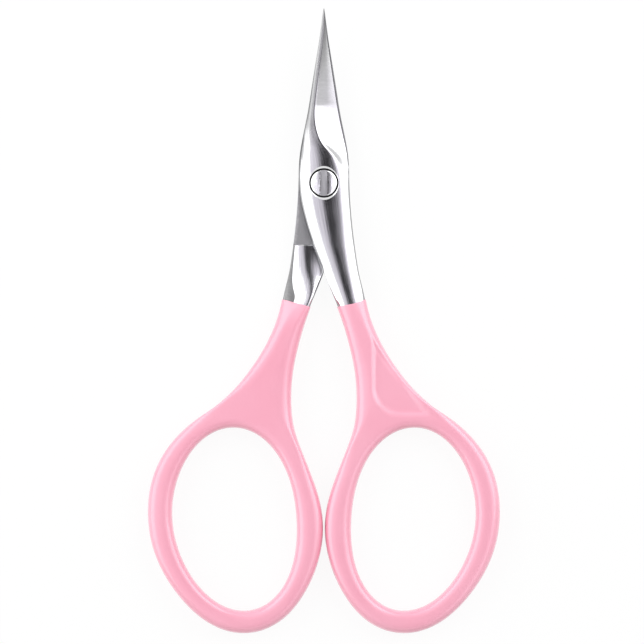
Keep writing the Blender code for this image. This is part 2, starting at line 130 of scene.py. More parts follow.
# %% Lines along one half
SPINE_SHARES = (
    (1, -0.012), (0.97, -0.045), (0.84, -0.157), (0.7, -0.314), (0.56, -0.468), (0.42, -0.611),
    (0.35, -0.707), (0.28, -0.806), (0.21, -0.904), (0.14, -0.968), (0.05, -1), (-0.06, -0.975),
    (-0.15, -0.923), (-0.24, -0.824), (-0.34, -0.71), (-0.44, -0.562), (-0.535, -0.404), (-0.62, -0.245),
    (-0.69, -0.117), (-0.76, 0.003), (-0.84, 0.157), (-0.92, 0.31), (-1.04, 0.535),
)
RIDGE_SHARES = (
    (1, 0), (0.97, 0.008), (0.87, 0.03), (0.77, -0.064), (0.68, -0.157), (0.56, -0.27), (0.43, -0.39),
    (0.36, -0.38), (0.3, -0.298), (0.24, -0.133), (0.2, 0.085), (0.171, 0.362), (0.13, 0.497),
    (0.07, 0.625), (0, 0.678), (-0.13, 0.691), (-0.29, 0.771), (-0.48, 0.824), (-0.65, 0.93),
    (-0.79, 1.053), (-0.95, 1.194), (-1.04, 1.27),
)
EDGE_SHARES = (
    (1, 0.012), (0.97, 0.034), (0.84, 0.11), (0.7, 0.25), (0.56, 0.392), (0.42, 0.533), (0.35, 0.63),
    (0.28, 0.728), (0.21, 0.84), (0.14, 0.93), (0.07, 0.985), (0, 0.995), (-0.14, 1.02), (-0.25, 1.061),
    (-0.35, 1.1), (-0.45, 1.157), (-0.55, 1.218), (-0.65, 1.277), (-0.75, 1.354), (-0.85, 1.473),
    (-0.95, 1.588), (-1.04, 1.68),
)
SPINE_HEIGHT_SHARES = (
    (1, 0.1), (0.87, 0.2), (0.6, 0.36), (0.35, 0.5), (0.1, 0.52), (-0.6, 0.5), (-1.04, 0.5),
)
CROWN_HEIGHT_SHARES = (
    (1, 0.14), (0.87, 0.27), (0.6, 0.52), (0.43, 0.69), (0.3, 0.83), (0.19, 0.97), (0.05, 1.03),
    (-0.5, 1), (-1.04, 0.91),
)
RIDGE_HEIGHT_SHARES = (
    (1, 0.15), (0.87, 0.29), (0.6, 0.55), (0.43, 0.73), (0.3, 0.89), (0.2, 0.94), (0.13, 0.9),
    (0, 0.86), (-0.6, 0.86), (-1.04, 0.84),
)
EDGE_RISE_SHARES = (
    (1, 0), (0.2, 0), (0.13, 0.12), (0.06, 0.34), (-0.04, 0.44), (-0.6, 0.46), (-1.04, 0.46),
)
BEVEL_DIP_SHARES = (
    (1, 0), (0.87, 0.2), (0.5, 0.5), (0.3, 1.6), (0.2, 1.2), (0.12, 0.3), (0.05, 0), (-1.04, 0),
)


def along(table, place):
    """The table's value at a place, on a smooth curve through its points."""
    points = sorted(table)
    place = min(max(place, points[0][0]), points[-1][0])
    index = next(i for i in range(len(points) - 1) if place <= points[i + 1][0])
    (x0, y0), (x1, y1) = points[index], points[index + 1]

    def slope(i):
        before, after = points[max(i - 1, 0)], points[min(i + 1, len(points) - 1)]
        return (after[1] - before[1]) / (after[0] - before[0])

    span = x1 - x0
    t = (place - x0) / span
    start, end = slope(index) * span, slope(index + 1) * span
    bend = t * (1 - t) * (start * (1 - t) - end * t)
    return y0 + (y1 - y0) * t * t * (3 - 2 * t) + bend


def plan_point(line, place):
    """A point seen from above on one of the lines along a half."""
    length = BLADE_LENGTH if place > 0 else SHANK_LENGTH
    return Vector((along(line, place) * BOSS_WIDTH / 2, place * length))


print("edge at the coat's mouth, in mm:", in_mm(plan_point(EDGE_SHARES, -1)))

# %% [markdown]
# ## Rows across one half
# A smooth forged shape comes from a coarse cage with few points, which a subdivision rounds. The cage is a
# grid, six columns wide: spine, two columns on the crown, ridge, one in the hollow of the bevel, and edge.
# A row may lie askew, so that the columns follow the curve where the bevel ends above the screw.

# %% Rows across one half
COLUMNS = 6
ROW_PLACE_SHARES = (
    (1, 1, 1), (0.96, 0.96, 0.96), (0.87, 0.87, 0.87), (0.77, 0.77, 0.77), (0.66, 0.66, 0.66),
    (0.54, 0.54, 0.535), (0.435, 0.43, 0.42), (0.37, 0.355, 0.325), (0.31, 0.285, 0.24),
    (0.25, 0.225, 0.175), (0.18, 0.182, 0.12), (0.1, 0.135, 0.065), (0, 0.05, 0),
    (-0.13, -0.11, -0.13), (-0.28, -0.28, -0.28), (-0.41, -0.41, -0.41), (-0.52, -0.52, -0.52),
    (-0.53, -0.53, -0.53), (-0.72, -0.72, -0.72), (-0.82, -0.815, -0.805), (-0.925, -0.905, -0.885),
    (-1.034, -1, -0.96),
)
LEDGE_ROW = 16  # the ground face ends in a straight ledge between this row and the next
RELIEF_END_SHARES = (0.95, 0.3)
CROWN_COLUMN_SHARES = (0.3, 0.66)
BEVEL_COLUMN_SHARE = 0.45
SHOULDER_SHARE = 0.93  # height of the column by the spine, of the crown's
BACK_COLUMN_SHARES = (  # past the ledge the back has columns of its own, with places across the row
    (0, 0.24, 0.52, 0.78, 0.955, 1),
    (0.02, 0.12, 0.34, 0.62, 0.92, 1),
    (0.045, 0.12, 0.28, 0.52, 0.865, 1),
    (0.05, 0.12, 0.28, 0.5, 0.75, 1),
    (0, 0.06, 0.17, 0.3, 0.46, 1),
)
BACK_SWELL_SHARES = (  # how far the back swells there, of the handle's half thickness
    (-0.01, -0.01, 0.04, 0.13, -0.06, -0.12),
    (-0.12, -0.1, 0.1, 0.22, -0.07, -0.15),
    (0.22, 0.29, 0.37, 0.32, -0.06, -0.18),
    (0.74, 0.8, 0.75, 0.55, 0.18, -0.09),
    (0.86, 0.98, 0.92, 0.81, 0.65, 0.3),
)


def blade_row(places):
    """Six plan points and heights of the outer side, and then of the ground side."""
    spine_place, ridge_place, edge_place = places
    spine = plan_point(SPINE_SHARES, spine_place)
    ridge = plan_point(RIDGE_SHARES, ridge_place)
    edge = plan_point(EDGE_SHARES, edge_place)
    shoulder, crown = (spine.lerp(ridge, share) for share in CROWN_COLUMN_SHARES)
    bevel = ridge.lerp(edge, BEVEL_COLUMN_SHARE)

    spine_height = along(SPINE_HEIGHT_SHARES, spine_place) * BOSS_THICKNESS
    crown_height = along(CROWN_HEIGHT_SHARES, ridge_place) * BOSS_THICKNESS
    ridge_height = along(RIDGE_HEIGHT_SHARES, ridge_place) * BOSS_THICKNESS
    edge_height = EDGE_THICKNESS + along(EDGE_RISE_SHARES, edge_place) * BOSS_THICKNESS
    bevel_height = ridge_height + (edge_height - ridge_height) * BEVEL_COLUMN_SHARE
    bevel_height -= along(BEVEL_DIP_SHARES, ridge_place) * BEVEL_HOLLOW
    shoulder_height = crown_height * SHOULDER_SHARE
    outer = [spine_height, shoulder_height, crown_height, ridge_height, bevel_height, edge_height]
    hollow = FACE_RELIEF if RELIEF_END_SHARES[1] < ridge_place < RELIEF_END_SHARES[0] else 0
    points = [spine, shoulder, crown, ridge, bevel, edge]
    return points, outer, list(points), [0, 0, hollow, hollow, hollow, 0]


def handle_heights(share):
    """Heights of the two sides at a share of the handle's half thickness."""
    middle = -RUNNING_GAP / 2
    return middle + CORE_HALF_THICKNESS * share, middle - CORE_HALF_THICKNESS * share


def steel_rows():
    rows = [blade_row(places) for places in ROW_PLACE_SHARES]
    for row, places, swells in zip(rows[LEDGE_ROW + 1 :], BACK_COLUMN_SHARES, BACK_SWELL_SHARES):
        points, _, back_points, back = row
        back_points[:] = [points[0].lerp(points[-1], share) for share in places]
        back[:] = [-CORE_HALF_THICKNESS * share for share in swells]
    return rows


print("rows of steel in one half:", len(steel_rows()))

# %% [markdown]
# ## Lines of the ring handle
# The finger hole is an ellipse whose lower half leans in, and the ring's band is wider or narrower by its
# angle round the hole. A subdivision draws a line of points inwards, so the cage is moved out beforehand by
# the same amount. The neck's rows run from the coat's mouth to the ring and spread like an open hand.

# %% Lines of the ring handle
RING_STATIONS = 20
FIRST_STATION_ANGLE = 63  # the neck joins the ring from this station on
BAND_SHARES = (  # width of the ring's band by angle round the hole
    (0, 1), (27, 0.99), (45, 0.88), (63, 0.8), (90, 0.88), (120, 0.9), (153, 0.88), (180, 1.09),
    (200, 1.02), (225, 0.89), (270, 0.93), (315, 0.88), (340, 0.97), (360, 1),
)
LEAN_SOFTNESS_SHARE = 0.2
SMOOTHED_WIDTH_SHARE = 46 / 48  # a smoothed section of six points is this wide
NECK_ROW_SHARES = (  # each row's left and right end, back and sideways, and how far the row bows up
    ((0.108, 0.215), (0.085, 0.53), 0),
    ((0.209, 0.283), (0.2, 0.654), 0),
    ((0.315, 0.337), (0.305, 0.815), 0.014),
    ((0.42, 0.357), (0.397, 0.993), 0.047),
    ((0.522, 0.348), (0.462, 1.161), 0.094),
    ((0.623, 0.299), (0.503, 1.283), 0.127),
)
NECK_RIM_SHARES = (0.56, 0.64, 0.74, 0.84, 0.92, 0.98)


def hole_centre():
    side = RING_GAP / 2 + RING_BAND * along(BAND_SHARES, 180) + HOLE_WIDTH / 2
    return Vector((side, -HOLE_BACK))


def hole_point(angle):
    """A point of the finger hole's outline."""
    turn = math.radians(angle)
    rise = math.sin(turn)
    lean = (rise - math.hypot(rise, LEAN_SOFTNESS_SHARE) + LEAN_SOFTNESS_SHARE) / 2
    offset = Vector((HOLE_WIDTH / 2 * math.cos(turn) + HOLE_LEAN * lean, HOLE_LENGTH / 2 * rise))
    return hole_centre() + offset


def sharpened(line):
    """The points of a closed line, moved out by what smoothing will draw them in."""
    count = len(line)
    return [p + (p * 2 - line[i - 1] - line[(i + 1) % count]) / 6 for i, p in enumerate(line)]


def ring_lines():
    """The inner, middle and outer line of the ring's steel core."""
    inner, middle, outer = [], [], []
    for station in range(RING_STATIONS):
        angle = (FIRST_STATION_ANGLE + station * 360 / RING_STATIONS) % 360
        tangent = hole_point(angle + 1) - hole_point(angle - 1)
        outward = Vector((tangent.y, -tangent.x)).normalized()
        band = RING_BAND * along(BAND_SHARES, angle)
        centre = hole_point(angle) + outward * band / 2
        reach = outward * (band / 2 - COAT_SIZE) / SMOOTHED_WIDTH_SHARE
        inner.append(centre - reach)
        middle.append(centre)
        outer.append(centre + reach)
    return sharpened(inner), sharpened(middle), sharpened(outer)


def core_side(start, points, end, turn):
    """One side of the neck's core: the coat's side moved in by the coat, between the mouth and the ring."""
    line = [start, *points, end]
    side = []
    for before, point, after in zip(line, points, line[2:]):
        along_side = (after - before).normalized()
        inward = Vector((-along_side.y, along_side.x)) * turn
        side.append(point + inward * COAT_SIZE)
    return sharpened([start, *side, end])[1:-1]


def neck_rows(mouth, joint):
    """The rows between the coat's mouth and the ring."""
    reach = HOLE_BACK - SHANK_LENGTH

    def side_points(ends):
        return [Vector((side * hole_centre().x, -SHANK_LENGTH - back * reach)) for back, side in ends]

    left_ends, right_ends, bows = zip(*NECK_ROW_SHARES)
    left = core_side(mouth[0], side_points(left_ends), joint[0], 1)
    right = core_side(mouth[-1], side_points(right_ends), joint[-1], -1)
    rows = []
    for start, end, bow, rim_share in zip(left, right, bows, NECK_RIM_SHARES):
        points = []
        for column in range(COLUMNS):
            t = column / (COLUMNS - 1)
            points.append(start.lerp(end, t) + Vector((0, bow * reach * 4 * t * (1 - t))))
        shares = [rim_share, 1, 1, 1, 1, rim_share]
        outer, back = zip(*(handle_heights(share) for share in shares))
        rows.append((points, outer, points, back))
    return rows


print("middle of the finger hole, in mm:", in_mm(hole_centre()))

# %% [markdown]
# ## A block of squares
# By hand, a designer adds a grid, extrudes it once and pulls its points to the drawn lines. The same is
# done here. While the block is still a plain lattice, a point's place says which column, row and side it
# belongs to.

# %% A block of squares


def only(obj):
    """Makes obj the one selected and active object."""
    bpy.ops.object.select_all(action="DESELECT")
    obj.select_set(True)
    bpy.context.view_layer.objects.active = obj


def edit(obj, action="DESELECT"):
    """Opens obj in edit mode with nothing selected, or all with SELECT, and returns its editable mesh."""
    only(obj)
    bpy.ops.object.mode_set(mode="EDIT")
    bpy.ops.mesh.select_mode(type="VERT")
    bpy.ops.mesh.select_all(action=action)
    return bmesh.from_edit_mesh(obj.data)


def leave_edit():
    bpy.ops.object.mode_set(mode="OBJECT")


def weld_and_leave():
    """Merges the points that lie together, turns all faces outwards and leaves edit mode."""
    bpy.ops.mesh.select_all(action="SELECT")
    bpy.ops.mesh.remove_doubles(threshold=WELD_DISTANCE)
    bpy.ops.mesh.normals_make_consistent(inside=False)
    leave_edit()


def lattice_place(vertex):
    """Column, row and side of a vertex while the block is a plain lattice."""
    return round(vertex.co.x), round(-vertex.co.y), round(-vertex.co.z)


def new_block(name, rows):
    """A grid with a square for each patch of one half, extruded once."""
    bpy.ops.mesh.primitive_grid_add(x_subdivisions=COLUMNS - 1, y_subdivisions=rows - 1, size=UNIT)
    block = bpy.context.object
    block.name = block.data.name = name
    edit(block, "SELECT")
    bpy.ops.transform.resize(value=(COLUMNS - 1, rows - 1, 1))
    bpy.ops.transform.translate(value=((COLUMNS - 1) / 2, -(rows - 1) / 2, 0))
    bpy.ops.mesh.extrude_region_move(TRANSFORM_OT_translate={"value": (0, 0, -UNIT)})
    leave_edit()
    return block


print("a block has", COLUMNS, "columns and", len(ROW_PLACE_SHARES), "rows of steel")

# %% [markdown]
# ## Creases and finishes
# By their places in the lattice, edges get their creases and faces the numbers of their finishes. Creases
# keep the ground edges sharp, and fade where the forging is round.

# %% Creases and finishes
FINISHES = ("steel", "coat", "ground", "hollow")
STEEL, COAT, GROUND, HOLLOW = range(len(FINISHES))
HOLLOW_END_ROW = 11
RIDGE_CREASE_SHARES = ((1, 0.4), (0.285, 0.4), (0.2, 0.35), (0.135, 0.25), (0.05, 0.3), (-0.905, 0.3))
EDGE_CREASE_SHARES = ((1, 1), (0.24, 1), (0.175, 0.9), (0.12, 0.6), (0.065, 0.35), (0, 0.2))
SPINE_CREASE_SHARES = ((1, 0.45), (0.31, 0.45), (0.25, 0.2), (-0.53, 0.2), (-0.82, 0.7), (-0.925, 0.7))
BACK_SPINE_CREASE_SHARES = ((1, 1), (-0.52, 1), (-0.53, 0.8), (-0.82, 0.8), (-0.925, 0.7), (-1.034, 0))
BACK_FLAT_CREASE_SHARES = ((1, 0), (-0.52, 0), (-0.53, 1), (-0.885, 1), (-0.96, 0.6))
BACK_EDGE_CREASE_SHARES = ((1, 1), (-0.52, 1), (-0.53, 0.8), (-0.805, 0.5), (-0.885, 0.3), (-0.96, 0))


def crease_value(first, second):
    """How sharp the edge between two lattice places stays."""
    (column, row, side), (_, other_row, other_side) = sorted((first, second), key=lambda p: p[1])
    last = len(ROW_PLACE_SHARES) - 1
    if max(row, other_row) > last:
        return 0
    if side != other_side:
        return 1.0 if row == 0 and column in (0, COLUMNS - 1) else 0
    if row == other_row:
        return 1.0 if row == 0 or (side == 1 and row in (LEDGE_ROW, LEDGE_ROW + 1)) else 0
    spine_place, ridge_place, edge_place = ROW_PLACE_SHARES[row]
    tables = {
        (0, 0): (SPINE_CREASE_SHARES, spine_place),
        (3, 0): (RIDGE_CREASE_SHARES, ridge_place),
        (COLUMNS - 1, 0): (EDGE_CREASE_SHARES, edge_place),
        (0, 1): (BACK_SPINE_CREASE_SHARES, spine_place),
        (4, 1): (BACK_FLAT_CREASE_SHARES, edge_place),
        (COLUMNS - 1, 1): (BACK_EDGE_CREASE_SHARES, edge_place),
    }
    if (column, side) not in tables:
        return 0
    return min(1.0, max(0.0, along(*tables[column, side])))


def crease_block(block):
    mesh = edit(block)
    layer = mesh.edges.layers.float.new("crease_edge")
    for edge in mesh.edges:
        edge[layer] = crease_value(*(lattice_place(vertex) for vertex in edge.verts))
    leave_edit()


def finish_of(face):
    """The finish of a face while the block is a plain lattice."""
    columns, face_rows, sides = zip(*(lattice_place(vertex) for vertex in face.verts))
    if min(face_rows) >= len(ROW_PLACE_SHARES) - 1:
        return COAT
    if min(sides) == 1 and min(columns) == 4 and min(face_rows) > LEDGE_ROW:
        return GROUND
    if max(sides) == 0 and min(columns) >= 3 and max(face_rows) <= HOLLOW_END_ROW:
        return HOLLOW
    return STEEL


def pull_block(block, rows):
    """Marks each face's finish, opens the end that meets the ring, and pulls each vertex to its place."""
    last = len(rows) - 1
    mesh = edit(block)
    for face in mesh.faces:
        face.material_index = finish_of(face)
        face.select = min(lattice_place(vertex)[1] for vertex in face.verts) == last
    bpy.ops.mesh.delete(type="FACE")
    mesh = bmesh.from_edit_mesh(block.data)
    for vertex in mesh.verts:
        column, row, side = lattice_place(vertex)
        points, heights = rows[row][2:] if side else rows[row][:2]
        vertex.co = (*points[column], MATING_HEIGHT + RUNNING_GAP / 2 + heights[column])
    leave_edit()


# %% [markdown]
# ## The ring and the whole half
# The ring starts as a circle whose edge is extruded outwards twice and then down. The outer wall is opened
# where the neck comes in, the neck's open end has its points on the very same places, and a merge by
# distance welds the two. This gives one skin without a seam, which a subdivision then rounds.

# %% The ring and the whole half


def ring_place(vertex):
    """Station, line and side of a vertex while the ring is a plain lattice."""
    angle = math.degrees(math.atan2(vertex.co.y, vertex.co.x))
    station = round(angle * RING_STATIONS / 360) % RING_STATIONS
    return station, round(vertex.co.xy.length) - 1, round(-vertex.co.z)


def new_ring(name):
    """A circle extruded outwards twice and then down, and pulled to the ring's lines."""
    bpy.ops.mesh.primitive_circle_add(vertices=RING_STATIONS, radius=UNIT, fill_type="NOTHING")
    ring = bpy.context.object
    ring.name = ring.data.name = name
    edit(ring, "SELECT")
    for factor in (2, 3 / 2):
        bpy.ops.mesh.extrude_edges_move(TRANSFORM_OT_translate={"value": (0, 0, 0)})
        bpy.ops.transform.resize(value=(factor, factor, 1), center_override=(0, 0, 0))
    bpy.ops.mesh.select_all(action="SELECT")
    bpy.ops.mesh.extrude_region_move(TRANSFORM_OT_translate={"value": (0, 0, -UNIT)})
    bpy.ops.mesh.select_all(action="DESELECT")

    mesh = bmesh.from_edit_mesh(ring.data)
    for face in mesh.faces:
        face.material_index = COAT
        places = [ring_place(vertex) for vertex in face.verts]
        on_outer_wall = min(line for _, line, _ in places) == 2
        face.select = on_outer_wall and max(station for station, _, _ in places) < COLUMNS
    bpy.ops.mesh.delete(type="FACE")

    lines = ring_lines()
    top, bottom = handle_heights(1)
    mesh = bmesh.from_edit_mesh(ring.data)
    for vertex in mesh.verts:
        station, line, side = ring_place(vertex)
        height = bottom if side else top
        vertex.co = (*lines[line][station], MATING_HEIGHT + RUNNING_GAP / 2 + height)
    leave_edit()
    return ring


def new_half(name):
    """The cage of one whole half, flat along the blade."""
    steel = steel_rows()
    joint = ring_lines()[2][COLUMNS - 1 :: -1]
    rows = steel + neck_rows(steel[-1][0], joint)
    top, bottom = handle_heights(1)
    rows.append((joint, [top] * COLUMNS, joint, [bottom] * COLUMNS))
    half = new_block(name, len(rows))
    crease_block(half)
    pull_block(half, rows)
    ring = new_ring("ring")
    for finish in FINISHES:
        material = bpy.data.materials.new(finish)
        half.data.materials.append(material)
        ring.data.materials.append(material)
    only(half)
    ring.select_set(True)
    bpy.ops.object.join()
    edit(half)
    weld_and_leave()
    half.matrix_world.identity()
    return half


front = new_half("front_half")
print("cage of one half:", len(front.data.vertices), "points,", len(front.data.polygons), "faces")

# %% [markdown]
# ## Two halves from one
# The rear half is the front half turned over about its long axis, so one is modelled and the other is its
# copy. Only the blades' curve isn't turned: both bend up towards the tip, so it goes in afterwards. Then
# the subdivision rounds both.

# %% Two halves from one
SMOOTHING_LEVELS = 3


def copied(obj, name):
    """A copy of obj with a mesh of its own."""
    copy = obj.copy()
    copy.data = obj.data.copy()
    copy.name = copy.data.name = name
    bpy.context.scene.collection.objects.link(copy)
    return copy


def turn_over(obj):
    """Turns obj about the long axis, at the height where the halves meet."""
    edit(obj, "SELECT")
    bpy.ops.transform.rotate(value=math.pi, orient_axis="Y", center_override=(0, 0, MATING_HEIGHT))
    leave_edit()


def bend_rise(place):
    """How far the blade's curve, which steepens towards the tip, lifts it so far from the screw's axis."""
    past = max(0, place - CURVE_START)
    return BLADE_RISE * (past / (BLADE_LENGTH - CURVE_START)) ** 2


def modify(obj, kind, **settings):
    """Adds a modifier with its settings and applies it."""
    modifier = obj.modifiers.new(kind, kind)
    for name, value in settings.items():
        setattr(modifier, name, value)
    only(obj)
    bpy.ops.object.modifier_apply(modifier=modifier.name)


rear = copied(front, "rear_half")
turn_over(rear)
for half in (front, rear):
    for vertex in half.data.vertices:
        vertex.co.z += bend_rise(vertex.co.y)
    modify(half, "SUBSURF", levels=SMOOTHING_LEVELS, render_levels=SMOOTHING_LEVELS)
    print(half.name, len(half.data.polygons), "faces")

# %% [markdown]
# ## The pressed web
# Above each ring the handle widens into a web, and on the screw-head side it is pressed a little deeper
# than its rim. The pressed field is bounded by a line along the shank, a line above the ring and the
# handle's outer side. Every point inside is lowered by its distance from the nearest of the three, up to
# the full depth, as a soft brush would do in sculpting.

# %% The pressed web
PRESS_DEPTH = 0.3 * MM
PRESS_WALL = 0.8 * MM  # width of the slope round the field
PRESS_LEFT = 6.9 * MM  # from the centre plane
PRESS_LOW = 34.5 * MM  # behind the screw
PRESS_ROUND = 4.4 * MM
PRESS_SIDE_START = Vector((7.4 * MM, -23.0 * MM))
PRESS_SIDE_END = Vector((14.4 * MM, -32.4 * MM))


def press_distance(point):
    """How far inside the pressed field a point lies, and less than zero outside."""
    from_left, from_low = point.x - PRESS_LEFT, point.y + PRESS_LOW
    corner = min(from_left, from_low)
    if max(from_left, from_low) < PRESS_ROUND:
        corner = PRESS_ROUND - math.hypot(PRESS_ROUND - from_left, PRESS_ROUND - from_low)
    line = (PRESS_SIDE_END - PRESS_SIDE_START).normalized()
    from_side = (point - PRESS_SIDE_START).dot(Vector((line.y, -line.x)))
    return min(corner, from_side)


def press_web(obj):
    """Presses the web of the front half on its outer side."""
    pressed = 0
    for vertex in obj.data.vertices:
        share = min(1, max(0, press_distance(vertex.co.xy) / PRESS_WALL))
        if share > 0 and vertex.co.z > MATING_HEIGHT:
            vertex.co.z -= PRESS_DEPTH * share * share * (3 - 2 * share)
            pressed += 1
    return pressed


print("pressed", press_web(front), "points")

# %% [markdown]
# ## The coats
# A coat is a skin of even thickness, so it is taken from the steel: the handle's faces are copied, lifted
# by a hair and thickened outwards. Its mouth is round, as the edge of a dipped or sprayed layer is.

# %% The coats
COAT_LIP = 0.05 * MM
LIP_ANGLE = math.radians(60)  # only sharper edges are rounded


def coat_over(half, name):
    coat = copied(half, name)
    mesh = edit(coat)
    bpy.ops.mesh.select_mode(type="FACE")
    for face in mesh.faces:
        face.select = face.material_index != COAT
    bpy.ops.mesh.delete(type="FACE")
    leave_edit()
    modify(coat, "DISPLACE", strength=COAT_GAP, mid_level=0)
    modify(coat, "SOLIDIFY", thickness=COAT_WALL, offset=1, use_even_offset=True)
    modify(coat, "BEVEL", width=COAT_LIP, segments=3, limit_method="ANGLE", angle_limit=LIP_ANGLE)
    return coat


front_coat = coat_over(front, "front_coat")
rear_coat = coat_over(rear, "rear_coat")
print("coat faces:", len(front_coat.data.polygons))

# %% [markdown]
# ## The screw and its seat
# The screw's head is a low dome with a worn slot, in a seat that is turned a little larger and has a bright
# chamfer round it. Profiles are drawn on one side of the axis and spun full circle.

# %% The screw and its seat
TURN_STEPS = 96
DOME_STEPS = 8
HEAD_DOME = 0.34 * MM
HEAD_ROUND = 0.08 * MM
HEAD_THICKNESS = 0.6 * MM
SLOT_WIDTH = 1.0 * MM
SLOT_DEPTH = 0.45 * MM
SLOT_ROUND = 0.11 * MM
SLOT_ANGLE = math.radians(35)  # only sharper edges are rounded
SCREW_DIAMETER = 2.3 * MM
SEAT_CLEARANCE = 0.16 * MM
SEAT_CHAMFER = 0.24 * MM
CHAMFER_SPREAD_SHARE = 1.4  # outwards for each unit of height
BORE_CLEARANCE = 0.1 * MM
THREAD_CLEARANCE = 0.04 * MM
FLOOR_GAP = 0.04 * MM
CUTTER_OVERRUN = 1.0 * MM
HEAD_EDGE = HEAD_TOP - HEAD_DOME
HEAD_UNDER = HEAD_EDGE - HEAD_THICKNESS


def turned(name, profile):
    """Spins a profile of (radius, height) points round the screw's axis."""
    bpy.ops.mesh.primitive_circle_add(vertices=3, radius=UNIT, fill_type="NOTHING")
    obj = bpy.context.object
    obj.name = obj.data.name = name
    mesh = edit(obj)
    bmesh.ops.delete(mesh, geom=mesh.verts[:], context="VERTS")
    line = [mesh.verts.new((radius, 0, height)) for radius, height in profile]
    for start, end in zip(line, line[1:]):
        mesh.edges.new((start, end))
    bmesh.update_edit_mesh(obj.data)
    bpy.ops.mesh.select_all(action="SELECT")
    bpy.ops.mesh.spin(steps=TURN_STEPS, angle=2 * math.pi, center=(0, 0, 0), axis=(0, 0, 1))
    weld_and_leave()
    return obj


def cut(obj, cutter):
    modify(obj, "BOOLEAN", operation="DIFFERENCE", object=cutter)
    bpy.data.objects.remove(cutter)


def seat_profile():
    """The bore of the front half, with the seat and the chamfer round the head."""
    seat = HEAD_DIAMETER / 2 + SEAT_CLEARANCE
    bore = SCREW_DIAMETER / 2 + BORE_CLEARANCE
    base = MATING_HEIGHT + RUNNING_GAP / 2
    chamfer_foot = base + BOSS_THICKNESS - SEAT_CHAMFER
    top = base + BOSS_THICKNESS + CUTTER_OVERRUN
    floor = HEAD_UNDER - FLOOR_GAP
    spread = (top - chamfer_foot) * CHAMFER_SPREAD_SHARE
    profile = [(0, top), (seat + spread, top), (seat, chamfer_foot), (seat, floor), (bore, floor)]
    return profile + [(bore, -CUTTER_OVERRUN), (0, -CUTTER_OVERRUN)]


def bore_profile():
    radius = SCREW_DIAMETER / 2 + THREAD_CLEARANCE
    top = MATING_HEIGHT + CUTTER_OVERRUN
    return [(0, top), (radius, top), (radius, -CUTTER_OVERRUN), (0, -CUTTER_OVERRUN)]


def screw_profile():
    radius = HEAD_DIAMETER / 2 - HEAD_ROUND
    dome = []
    for step in range(DOME_STEPS):
        share = step / DOME_STEPS
        dome.append((radius * share, HEAD_EDGE + HEAD_DOME * (1 - share**2)))
    rim = HEAD_DIAMETER / 2
    side = [(radius, HEAD_EDGE), (rim, HEAD_EDGE - HEAD_ROUND), (rim, HEAD_UNDER)]
    return dome + side + [(SCREW_DIAMETER / 2, HEAD_UNDER), (SCREW_DIAMETER / 2, 0), (0, 0)]


def slot_block():
    bpy.ops.mesh.primitive_cube_add(size=UNIT, location=(0, 0, HEAD_TOP))
    block = bpy.context.object
    edit(block, "SELECT")
    bpy.ops.transform.resize(value=(SLOT_WIDTH, HEAD_DIAMETER + CUTTER_OVERRUN, 2 * SLOT_DEPTH))
    leave_edit()
    return block


cut(front, turned("seat cutter", seat_profile()))
cut(rear, turned("bore cutter", bore_profile()))
screw = turned("slotted_screw", screw_profile())
cut(screw, slot_block())
modify(screw, "BEVEL", width=SLOT_ROUND, segments=3, limit_method="ANGLE", angle_limit=SLOT_ANGLE)
print("screw faces:", len(screw.data.polygons))

# %% [markdown]
# ## Nodes for the finishes
# A finish is a graph of nodes that works out the colour, roughness and bump at each point. By hand, nodes
# are added and joined with the mouse. Here one helper adds a node and joins its inputs, and the others are
# what every finish needs: noise, a range mapped to another, a sum, a mix of two colours and a bump.

# %% Nodes for the finishes
NOISE_RANGE = (0.3, 0.7)  # nearly all noise lies in this range


def new_material(name):
    material = bpy.data.materials.new(name)
    material.use_nodes = True
    return material, material.node_tree


def give(tree, node, inputs):
    """Gives each named input of a node a value of its own or another node's output."""
    for name, value in inputs.items():
        if isinstance(value, bpy.types.NodeSocket):
            tree.links.new(value, node.inputs[name])
        else:
            node.inputs[name].default_value = value


def add_node(tree, kind, inputs, **settings):
    node = tree.nodes.new("ShaderNode" + kind)
    for name, value in settings.items():
        setattr(node, name, value)
    give(tree, node, inputs)
    return node


def object_place(tree):
    """Where a point lies in the piece's own coordinates, in metres."""
    return add_node(tree, "TexCoord", {}).outputs["Object"]


def part_of(tree, place, axis):
    return add_node(tree, "SeparateXYZ", {"Vector": place}).outputs[axis]


def noise(tree, grains, place=None):
    """Noise with so many grains to each unit, in the piece's own coordinates or at another place."""
    if place is None:
        place = object_place(tree)
    scaled = add_node(tree, "Mapping", {"Vector": place, "Scale": grains}).outputs["Vector"]
    return add_node(tree, "TexNoise", {"Vector": scaled, "Scale": 1, "Detail": 4}).outputs["Fac"]


def ranged(tree, value, source_range, result_range=(0, 1)):
    """The value with one range mapped to another, and clamped."""
    inputs = dict(zip(("From Min", "From Max", "To Min", "To Max"), (*source_range, *result_range)))
    return add_node(tree, "MapRange", {"Value": value, **inputs}).outputs["Result"]


def calculated(tree, operation, value, *others):
    """The values combined one after another by a sum, a product or another operation."""
    for other in others or (0,):
        value = add_node(tree, "Math", {0: value, 1: other}, operation=operation).outputs["Value"]
    return value


def mixed_colour(tree, share, first, second):
    inputs = {"Factor": share, "A": (*first, 1), "B": (*second, 1)}
    return add_node(tree, "Mix", inputs, data_type="RGBA").outputs["Result"]


def add_bump(tree, height, strength, depth, before=None):
    """The surface's direction, tilted as if the height stood out from it, on top of an earlier bump."""
    inputs = {"Height": height, "Strength": strength, "Distance": depth}
    if before is not None:
        inputs["Normal"] = before
    return add_node(tree, "Bump", inputs).outputs["Normal"]


# %% [markdown]
# ## Steel
# The forged steel is polished lengthwise, so its reflections are soft and drawn out in fine streaks that
# follow the shank. The grid that the half was made from still has its flat map, with one direction across
# and one along, and noise that is stretched on this map gives streaks that follow the form. The same map
# finds the ridge, which keeps some gloss, the lighter edge and a dull strip along the boss's spine.

